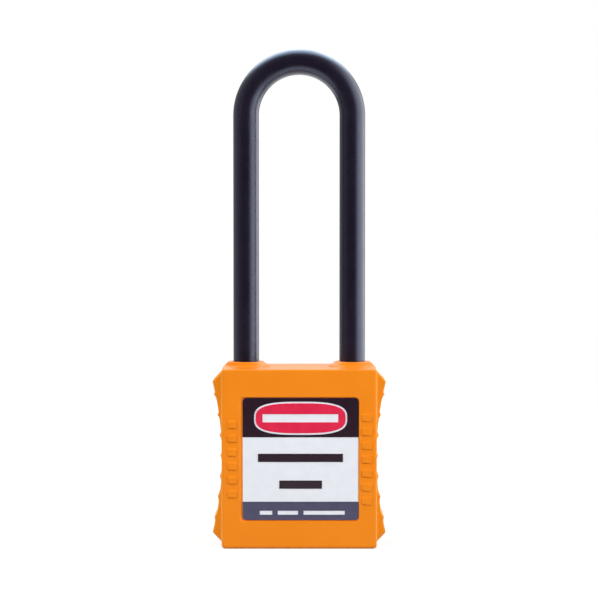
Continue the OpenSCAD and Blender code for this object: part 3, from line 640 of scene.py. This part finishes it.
def new_finish(name, roughness, metallic=0.0, ior=1.5, mirror_tint=WHITE, specular=0.5):
    """A material whose constant values are set on the Principled shader's own sockets."""
    material = bpy.data.materials.new(name)
    material.use_nodes = True
    shader = material.node_tree.nodes["Principled BSDF"]
    shader.inputs["Roughness"].default_value = roughness
    shader.inputs["Metallic"].default_value = metallic
    shader.inputs["IOR"].default_value = ior
    shader.inputs["Specular Tint"].default_value = mirror_tint
    shader.inputs["Specular IOR Level"].default_value = specular
    return material, shader


def noise(material, size, detail=2.0, stretch=(1, 1, 1)):
    """Noise with features of about size millimetres, on the object's own coordinates."""
    nodes, links = material.node_tree.nodes, material.node_tree.links
    place = nodes.new("ShaderNodeTexCoord")
    mapping = nodes.new("ShaderNodeMapping")
    mapping.inputs["Scale"].default_value = stretch
    texture = nodes.new("ShaderNodeTexNoise")
    texture.inputs["Scale"].default_value = 1 / (size * MM)
    texture.inputs["Detail"].default_value = detail
    links.new(place.outputs["Object"], mapping.inputs["Vector"])
    links.new(mapping.outputs["Vector"], texture.inputs["Vector"])
    return texture.outputs["Fac"]


def spread(material, value, low, high, start=0.3, end=0.7):
    """value stretched from start..end to low..high."""
    node = material.node_tree.nodes.new("ShaderNodeMapRange")
    for name, number in (("From Min", start), ("From Max", end), ("To Min", low), ("To Max", high)):
        node.inputs[name].default_value = number
    material.node_tree.links.new(value, node.inputs["Value"])
    return node.outputs["Result"]


def mix_colours(material, factor, first, second):
    """first where factor is 0 and second where it is 1; either is a colour or a socket."""
    node = material.node_tree.nodes.new("ShaderNodeMix")
    node.data_type = "RGBA"
    material.node_tree.links.new(factor, node.inputs["Factor"])
    for socket, colour in ((node.inputs["A"], first), (node.inputs["B"], second)):
        if isinstance(colour, tuple):
            socket.default_value = colour
        else:
            material.node_tree.links.new(colour, socket)
    return node.outputs["Result"]


def bump(material, shader, height, depth):
    """Bump of depth millimetres from a height between 0 and 1."""
    node = material.node_tree.nodes.new("ShaderNodeBump")
    node.inputs["Strength"].default_value = 1.0
    node.inputs["Distance"].default_value = depth * MM
    material.node_tree.links.new(height, node.inputs["Height"])
    material.node_tree.links.new(node.outputs["Normal"], shader.inputs["Normal"])


print("sRGB 128 is", round(linear(128, 128, 128)[0], 3), "in linear light")

# %% [markdown]
# The orange body and the black shackle come out of different moulds. The orange one is matt. On its
# sides, where the grips are, it is painted a touch lighter and yellower: painted light that lifts
# the shade on the wings beside the body and paints a highlight along the upright edges. So the
# colour changes there with the distance from the lock's middle plane. The black one is glossier,
# and its shine is cool, so its mirror reflection has a slight blue tint.

# %% The plastics
GRAIN_SIZE, GRAIN_DEPTH = 0.25, 0.012   # millimetres
DRIFT_SIZE, FLECK_SIZE, GLOSS_SIZE = 9, 0.5, 3      # millimetres
GLOSS_SWING = 0.05                # how far the roughness wanders either way
# the sides of the body get painted light: a lighter colour for their shade and their upright edges
PAINTED_LIGHT_FROM, PAINTED_LIGHT_TO = 18.55, 18.95       # where the colour of the sides sets in, in millimetres


def painted_light_side_mask(material):
    """0 on the faces and 1 on the sides, where the painted light goes, from the distance to the
    lock's upright middle plane.
    """
    nodes, links = material.node_tree.nodes, material.node_tree.links
    place, apart = nodes.new("ShaderNodeTexCoord"), nodes.new("ShaderNodeSeparateXYZ")
    links.new(place.outputs["Object"], apart.inputs["Vector"])
    distance = nodes.new("ShaderNodeMath")
    distance.operation = "ABSOLUTE"
    links.new(apart.outputs["X"], distance.inputs[0])
    return spread(material, distance.outputs["Value"], 0, 1, PAINTED_LIGHT_FROM * MM, PAINTED_LIGHT_TO * MM)


def moulded(name, colour, lighter, roughness, mirror_tint=WHITE, specular=0.5, painted_light_at_sides=None):
    """Moulded plastic: colour that drifts toward a lighter one, uneven gloss and a fine grain. A
    colour given for the sides takes its place there, as painted light that lifts their shade and
    paints a highlight along the upright edges."""
    material, shader = new_finish(name, roughness, ior=1.53, mirror_tint=mirror_tint,
                                  specular=specular)
    links = material.node_tree.links
    cloud = spread(material, noise(material, DRIFT_SIZE), 0, 0.6)
    drift = mix_colours(material, cloud, colour, lighter)
    fleck = spread(material, noise(material, FLECK_SIZE, 3), 0, 0.25, 0.45, 0.75)
    skin = mix_colours(material, fleck, drift, lighter)
    if painted_light_at_sides:
        # painted light: the sides take a lighter colour that lifts their shade and highlights the
        # upright edges
        skin = mix_colours(material, painted_light_side_mask(material), skin, painted_light_at_sides)
    links.new(skin, shader.inputs["Base Color"])
    gloss = spread(material, noise(material, GLOSS_SIZE, 3), roughness - GLOSS_SWING,
                   roughness + GLOSS_SWING)
    links.new(gloss, shader.inputs["Roughness"])
    bump(material, shader, noise(material, GRAIN_SIZE, 3), GRAIN_DEPTH)
    return material


# the colour at the sides is painted light, lighter and yellower, to lift the wings' shade and paint
# a highlight on the upright edges
orange_nylon = moulded("orange_moulded_nylon", linear(241, 134, 12), linear(246, 141, 20), 0.46,
                       specular=0.3, painted_light_at_sides=linear(243, 151, 18))
black_nylon = moulded("black_moulded_nylon", linear(26, 20, 33), linear(34, 28, 42), 0.3,
                      mirror_tint=(0.66, 0.77, 1, 1))
black_acetal = moulded("black_moulded_acetal", linear(30, 29, 32), linear(40, 39, 43), 0.45)
print("plastics:", orange_nylon.name, black_nylon.name, black_acetal.name)

# %% [markdown]
# The label is white polyester film with a clear satin layer over the print. Each printed field is a
# thin skin of ink of one colour. Ink on film isn't perfectly even, so its colour wanders a little.

# %% The label and its inks
PATCH_SIZE, LAYER_SIZE, LAYER_DEPTH = 2.5, 0.6, 0.004  # millimetres


def printed(name, colour, second):
    """Ink or film under a clear satin layer: its colour drifts to a second one in soft patches."""
    material, shader = new_finish(name, roughness=0.32, specular=0.28)
    patch = spread(material, noise(material, PATCH_SIZE, 4), 0, 1, 0.35, 0.65)
    material.node_tree.links.new(mix_colours(material, patch, colour, second),
                                 shader.inputs["Base Color"])
    bump(material, shader, noise(material, LAYER_SIZE), LAYER_DEPTH)
    return material


film_white = printed("label_film_white", linear(237, 240, 246), linear(233, 236, 243))
ink_black = printed("label_ink_black", linear(36, 18, 30), linear(41, 23, 35))
ink_red = printed("label_ink_red", linear(228, 42, 78), linear(222, 36, 74))
ink_slate = printed("label_ink_slate", linear(73, 72, 97), linear(68, 67, 92))
print("film and inks:", film_white.name, ink_black.name, ink_red.name, ink_slate.name)

# %% [markdown]
# Metals. The cylinder is turned brass, as are its key pins, so its side carries fine lines across.
# These come from noise that is squeezed along the lock's upright axis. The other metal pieces are
# steel, and the balls are polished, so their marks are the shallowest.

# %% The metals
MARK_SIZE, MARK_STRETCH, STAIN_SIZE = 0.3, (1, 1, 6), 2.5


def turned_metal(name, colour, second, roughness, depth=0.003):
    """Metal with fine tool marks: squeezed noise moves its gloss and its surface, and a softer
    noise stains its colour.
    """
    material, shader = new_finish(name, roughness, metallic=1.0)
    links = material.node_tree.links
    marks = noise(material, MARK_SIZE, 4, MARK_STRETCH)
    stain = spread(material, noise(material, STAIN_SIZE, 3), 0, 1)
    links.new(mix_colours(material, stain, colour, second), shader.inputs["Base Color"])
    links.new(spread(material, marks, roughness - 0.06, roughness + 0.08),
              shader.inputs["Roughness"])
    bump(material, shader, marks, depth)
    return material


brass = turned_metal("turned_brass", linear(214, 178, 92), linear(196, 158, 76), 0.3)
plug_brass = turned_metal("plug_brass", linear(222, 190, 104), linear(204, 168, 84), 0.26)
ball_steel = turned_metal("ball_steel", linear(205, 207, 210), linear(190, 192, 196), 0.12,
                          depth=0.0005)
cam_steel = turned_metal("cam_steel", linear(168, 170, 172), linear(150, 152, 156), 0.35)
pin_steel = turned_metal("pin_steel", linear(190, 192, 194), linear(176, 178, 182), 0.25)
rivet_steel = turned_metal("rivet_steel", linear(196, 198, 200), linear(176, 178, 180), 0.32)
spring_steel = turned_metal("spring_steel", linear(160, 162, 168), linear(138, 140, 146), 0.28)
print("metals:", [m.name for m in (brass, plug_brass, ball_steel, cam_steel, pin_steel, rivet_steel,
                                   spring_steel)])

# %% [markdown]
# Each new piece gets its finish, and each solid of the frame that still shows gets one by its name.

# %% Giving out the finishes
FINISHES = {
    "base_plate": orange_nylon, "lock_frame": black_acetal, "base_rivets": rivet_steel,
    "cylinder_shell": brass, "chamber_cover": brass, "cylinder_plug": plug_brass,
    "locking_cam": cam_steel, "shackle_spring": spring_steel, "shackle_retaining_pin": pin_steel,
    "locking_ball_left": ball_steel, "locking_ball_right": ball_steel, "plug_clip": spring_steel,
    "label_black": ink_black, "label_red": ink_red, "label_slate": ink_slate,
    "rear_label_lines": ink_black}
for number in range(1, 7):
    FINISHES[f"key_pin_{number}"] = brass
    FINISHES[f"driver_pin_{number}"] = pin_steel
    FINISHES[f"pin_spring_{number}"] = spring_steel


def give(made, material):
    """Makes material the only one of an object."""
    made.data.materials.clear()
    made.data.materials.append(material)


for made, material in ((body, orange_nylon), (shackle, black_nylon), (front_film, film_white),
                       (rear_film, film_white)):
    give(made, material)
for node, material in FINISHES.items():
    give(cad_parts[node], material)
print(len(FINISHES), "nodes of the frame have a finish")

# %% [markdown]
# The studio is a white surround with three parts to play. What the camera sees directly is plain
# white. On the lock it sheds an even light, with a little more from above and behind. And the lock
# mirrors something else again: dark on the camera's side, grey at the sides, with a bright panel on
# the right and a cool one overhead. The dark side keeps the black shackle black in the middle of
# its legs, and the panels draw the shine along its edges and over its arch. Cards and lamps could
# do this too, but a world needs no objects, and its Light Path node tells the three parts apart.

# %% Helpers for the world
world = bpy.data.worlds.new("white_surround")
bpy.context.scene.world = world
world.use_nodes = True
nodes, links = world.node_tree.nodes, world.node_tree.links
nodes.clear()


def world_node(kind, **settings):
    """A node of the world with settings on its own fields."""
    node = nodes.new(kind)
    for name, value in settings.items():
        setattr(node, name, value)
    return node


def rises(value, start, end, level):
    """A level that rises in an even S from 0 at start to level at end."""
    node = world_node("ShaderNodeMapRange", interpolation_type="SMOOTHSTEP")
    for name, number in (("From Min", start), ("From Max", end), ("To Min", 0), ("To Max", level)):
        node.inputs[name].default_value = number
    links.new(value, node.inputs["Value"])
    return node.outputs["Result"]


def combine(operation, first, second):
    """Two values joined by an operation, such as their sum."""
    node = world_node("ShaderNodeMath", operation=operation)
    links.new(first, node.inputs[0])
    links.new(second, node.inputs[1])
    return node.outputs["Value"]


def background(colour, strength=None):
    """A surround of one colour; its strength is a socket, and 1 without one."""
    node = world_node("ShaderNodeBackground")
    node.inputs["Color"].default_value = colour
    if strength:
        links.new(strength, node.inputs["Strength"])
    return node.outputs["Background"]


def choose(test, where_0, where_1):
    """One of two shaders, by a test that is 0 or 1."""
    node = world_node("ShaderNodeMixShader")
    for value, socket in ((test, 0), (where_0, 1), (where_1, 2)):
        links.new(value, node.inputs[socket])
    return node.outputs["Shader"]


direction = world_node("ShaderNodeTexCoord").outputs["Generated"]
parts = world_node("ShaderNodeSeparateXYZ")
links.new(direction, parts.inputs["Vector"])
to_right, to_back, upward = (parts.outputs[axis] for axis in "XYZ")
print("a direction has", len(parts.outputs), "parts")

# %% [markdown]
# A direction of the world has three parts, each from -1 to 1: to the right, to the back and up.
# The light on the lock rises softly with two of them, so nothing in the room has an edge.

# %% What lights the lock
ROOM_LIGHT = 0.41                 # from every side
BACKDROP_LIGHT = 0.1              # how much more comes from behind
OVERHEAD_LIGHT = 0.3              # how much more comes from above
ROOM_COLOUR = (0.97, 0.98, 1.0, 1)
base_light = world_node("ShaderNodeValue").outputs["Value"]
base_light.default_value = ROOM_LIGHT
behind_and_above = combine("ADD", rises(to_back, 0.4, 0.9, BACKDROP_LIGHT),
                           rises(upward, 0.2, 0.9, OVERHEAD_LIGHT))
room = background(ROOM_COLOUR, combine("ADD", behind_and_above, base_light))
print("the room gives", ROOM_LIGHT, "to", ROOM_LIGHT + BACKDROP_LIGHT + OVERHEAD_LIGHT)

# %% [markdown]
# The mirrored room rises in shorter steps, so its panels have an outline. The one overhead rises
# as a direction nears its middle, which their dot product tells.

# %% What the lock mirrors
MIRRORED_SIDES, LESS_BEHIND = 0.65, 0.38
SIDE_PANEL, TOP_PANEL = 3.9, 5.4
TOP_PANEL_AT = (0, 0.5, 0.866)    # behind the lock and 60 degrees up
TOP_PANEL_COLOUR = (0.68, 0.86, 1, 1)
sides = combine("ADD", rises(to_back, -0.95, 0.2, MIRRORED_SIDES),
                rises(to_back, 0.6, 1.0, -LESS_BEHIND))
neutral = background(WHITE, combine("ADD", sides, rises(to_right, 0.4, 0.95, SIDE_PANEL)))
overhead = world_node("ShaderNodeVectorMath", operation="DOT_PRODUCT")
overhead.inputs[1].default_value = TOP_PANEL_AT
links.new(direction, overhead.inputs[0])
cool = background(TOP_PANEL_COLOUR, rises(overhead.outputs["Value"], 0.68, 0.92, TOP_PANEL))
mirrored = world_node("ShaderNodeAddShader")
links.new(neutral, mirrored.inputs[0])
links.new(cool, mirrored.inputs[1])

# %% The three parts in one world
path = world_node("ShaderNodeLightPath").outputs
in_mirror = combine("MAXIMUM", path["Is Glossy Ray"], path["Is Transmission Ray"])
on_the_lock = choose(in_mirror, room, mirrored.outputs["Shader"])
surround = world_node("ShaderNodeOutputWorld")
links.new(choose(path["Is Camera Ray"], on_the_lock, background(WHITE)), surround.inputs["Surface"])
print("the world has", len(nodes), "nodes")

# %% [markdown]
# Three soft boxes add direction to the light: one from the right, a slightly weaker one from the
# left, and one from low behind, so that the back is as well lit as the front. The two in front
# stand near, so that the light fades a little toward the base. The lock doesn't mirror them,
# because the panels of the world give it its shine.

# %% The lamps
AIM = (0, 0, 50)


def soft_box(name, at, size, power):
    """A square area lamp at a place, turned toward the lock, in millimetres and watts."""
    data = bpy.data.lights.new(name, "AREA")
    data.size, data.energy = size * MM, power
    lamp = bpy.data.objects.new(name, data)
    bpy.context.scene.collection.objects.link(lamp)
    lamp.location = Vector(at) * MM
    lamp.rotation_euler = (Vector(AIM) - Vector(at)).to_track_quat("-Z", "Y").to_euler()
    lamp.visible_glossy = lamp.visible_camera = False
    print(name, "stands", round((Vector(AIM) - Vector(at)).length), "mm away")


soft_box("key_box", (364, -286, 219), 221, 1.5)
soft_box("fill_box", (-384, -280, 212), 221, 1.36)
soft_box("back_box", (-160, 600, 110), 340, 1.9)

# %% [markdown]
# The floor is a disc of pale paper, seen almost edge on. Lamps strong enough to turn it white would
# burn out the lock. So it has a light of its own, for the camera alone, that grows away from
# the lock: it reads as white everywhere but in the faint shadow at the lock's foot. The lock
# mirrors it as a bright floor.

# %% The floor
FLOOR_R, FLOOR_BACK = 0.25, 0.13  # radius, and how far behind the lock its middle lies, in metres
FLOOR_POINTS = 96
PAPER_GREY, PAPER_GLOW = 0.18, 0.86     # its colour, and its own light under the lock
GLOW_FROM, GLOW_TO = 30, 100      # where that light grows to 1, in millimetres from the lock's axis
MIRRORED_GLOW = 1.9
around = np.linspace(0, 2 * np.pi, FLOOR_POINTS, endpoint=False)
disc = np.stack([FLOOR_R * np.cos(around), FLOOR_BACK + FLOOR_R * np.sin(around), 0 * around], -1)
floor_mesh = bpy.data.meshes.new("floor")
floor_mesh.from_pydata(disc.tolist(), [], [list(range(FLOOR_POINTS))])
floor = bpy.data.objects.new("floor", floor_mesh)
bpy.context.scene.collection.objects.link(floor)

paper, paper_shader = new_finish("white_paper", roughness=1.0, specular=0.0)
paper_shader.inputs["Base Color"].default_value = (PAPER_GREY, PAPER_GREY, PAPER_GREY, 1)
paper_shader.inputs["Emission Color"].default_value = WHITE
nodes, links = paper.node_tree.nodes, paper.node_tree.links
path = nodes.new("ShaderNodeLightPath").outputs
from_middle = nodes.new("ShaderNodeVectorMath")
from_middle.operation = "LENGTH"
links.new(nodes.new("ShaderNodeTexCoord").outputs["Object"], from_middle.inputs[0])
in_mirrors, paper_glow = nodes.new("ShaderNodeMath"), nodes.new("ShaderNodeMath")
in_mirrors.operation, paper_glow.operation = "MULTIPLY", "MULTIPLY_ADD"
in_mirrors.inputs[1].default_value = MIRRORED_GLOW
links.new(path["Is Glossy Ray"], in_mirrors.inputs[0])
links.new(path["Is Camera Ray"], paper_glow.inputs[0])
links.new(spread(paper, from_middle.outputs["Value"], PAPER_GLOW, 1, GLOW_FROM * MM, GLOW_TO * MM),
          paper_glow.inputs[1])
links.new(in_mirrors.outputs["Value"], paper_glow.inputs[2])
links.new(paper_glow.outputs["Value"], paper_shader.inputs["Emission Strength"])
give(floor, paper)
bpy.context.scene.view_settings.view_transform = "Standard"
print("the floor is", round(2 * FLOOR_R / MM), "mm across")
